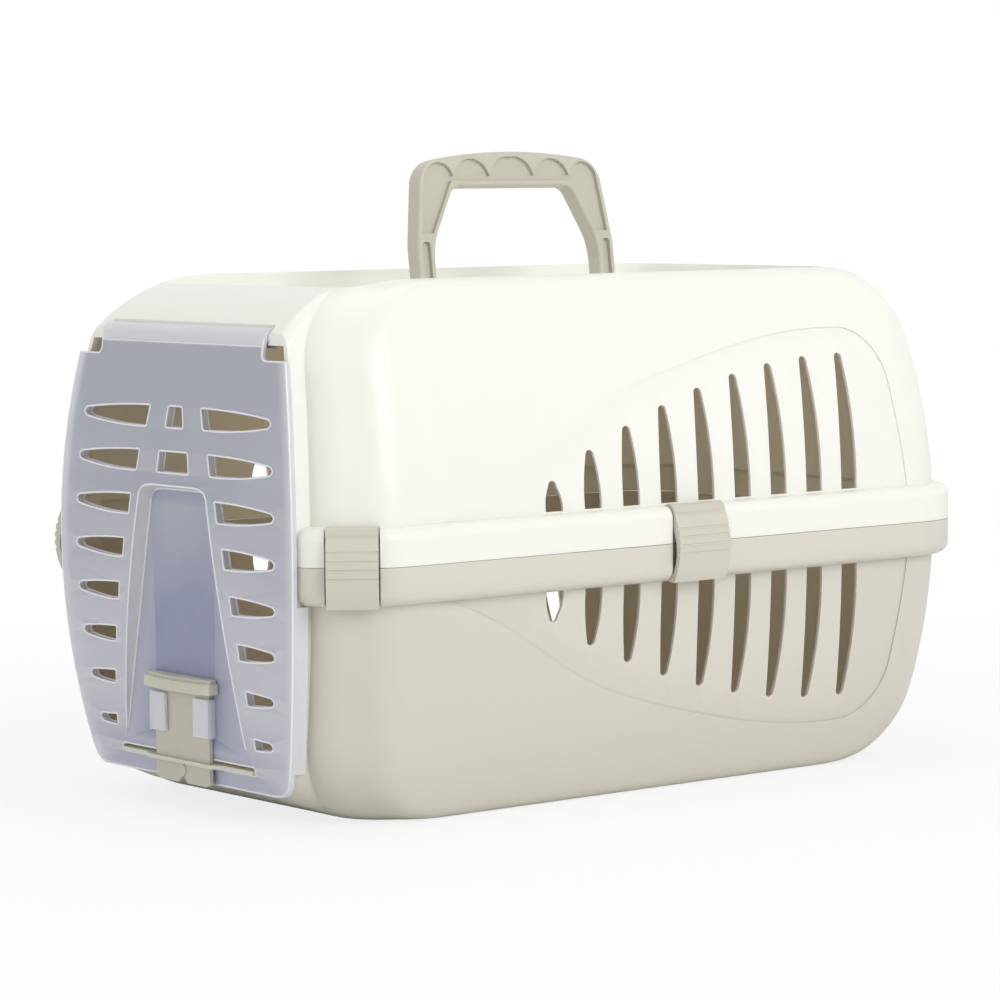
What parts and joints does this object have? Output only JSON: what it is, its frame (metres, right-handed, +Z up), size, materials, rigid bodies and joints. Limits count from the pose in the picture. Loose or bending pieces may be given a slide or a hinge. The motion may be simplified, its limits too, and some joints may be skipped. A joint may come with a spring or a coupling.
{
  "type": "pet carrier",
  "caption": "Hard pet carrier: two clipped shells with side air slots, a lift-up slotted door with a sliding latch, and a handle that folds into the roof",
  "frame": {"origin": "on the floor under the middle of the rim that runs round the carrier at the seam", "axes": "+Z up; the door faces -Y; +X is the side at the right hand of someone who faces the door"},
  "size_m": [0.315, 0.488, 0.3659],
  "materials": {
    "lower_shell": "fine satin",
    "upper_shell": "fine satin",
    "door": "frosted, translucent",
    "latch": "satin",
    "handle": "satin",
    "clip_front_right": "satin",
    "clip_front_left": "satin",
    "clip_side_right": "satin",
    "clip_side_left": "satin",
    "clip_rear_right": "satin",
    "clip_rear_left": "satin"
  },
  "bodies": {
    "shells": {"lower_shell": "lower_shell", "upper_shell": "upper_shell"},
    "door": {"door": "door"},
    "latch": {"latch": "latch"},
    "handle": {"handle": "handle"},
    "clip_front_right": {"clip_front_right": "clip_front_right"},
    "clip_front_left": {"clip_front_left": "clip_front_left"},
    "clip_side_right": {"clip_side_right": "clip_side_right"},
    "clip_side_left": {"clip_side_left": "clip_side_left"},
    "clip_rear_right": {"clip_rear_right": "clip_rear_right"},
    "clip_rear_left": {"clip_rear_left": "clip_rear_left"}
  },
  "joints": [
    {"name": "door_swing", "type": "hinge", "parent": "shells", "child": "door", "pos_m": [0, -0.22567, 0.2655], "axis": [-1, 0, 0], "range_deg": [0, 105]},
    {"name": "latch_slide", "type": "slide", "parent": "door", "child": "latch", "axis": [0, 0, 1], "range_m": [0, 0.02]},
    {"name": "handle_fold", "type": "hinge", "parent": "shells", "child": "handle", "pos_m": [0, 0.0055, 0.282], "axis": [0, 1, 0], "range_deg": [-82, 97]},
    {"name": "clip_front_right_swing", "type": "hinge", "parent": "shells", "child": "clip_front_right", "pos_m": [0.13445, -0.21524, 0.1625], "axis": [-0.6139, -0.7894, 0], "range_deg": [0, 95]},
    {"name": "clip_front_left_swing", "type": "hinge", "parent": "shells", "child": "clip_front_left", "pos_m": [-0.13445, -0.21524, 0.1625], "axis": [-0.6139, 0.7894, 0], "range_deg": [0, 95]},
    {"name": "clip_side_right_swing", "type": "hinge", "parent": "shells", "child": "clip_side_right", "pos_m": [0.1475, 0.014, 0.1625], "axis": [0, -1, 0], "range_deg": [0, 95]},
    {"name": "clip_side_left_swing", "type": "hinge", "parent": "shells", "child": "clip_side_left", "pos_m": [-0.1475, 0.014, 0.1625], "axis": [0, 1, 0], "range_deg": [0, 95]},
    {"name": "clip_rear_right_swing", "type": "hinge", "parent": "shells", "child": "clip_rear_right", "pos_m": [0.084, 0.2355, 0.1625], "axis": [1, 0, 0], "range_deg": [0, 95]},
    {"name": "clip_rear_left_swing", "type": "hinge", "parent": "shells", "child": "clip_rear_left", "pos_m": [-0.084, 0.2355, 0.1625], "axis": [1, 0, 0], "range_deg": [0, 95]}
  ]
}
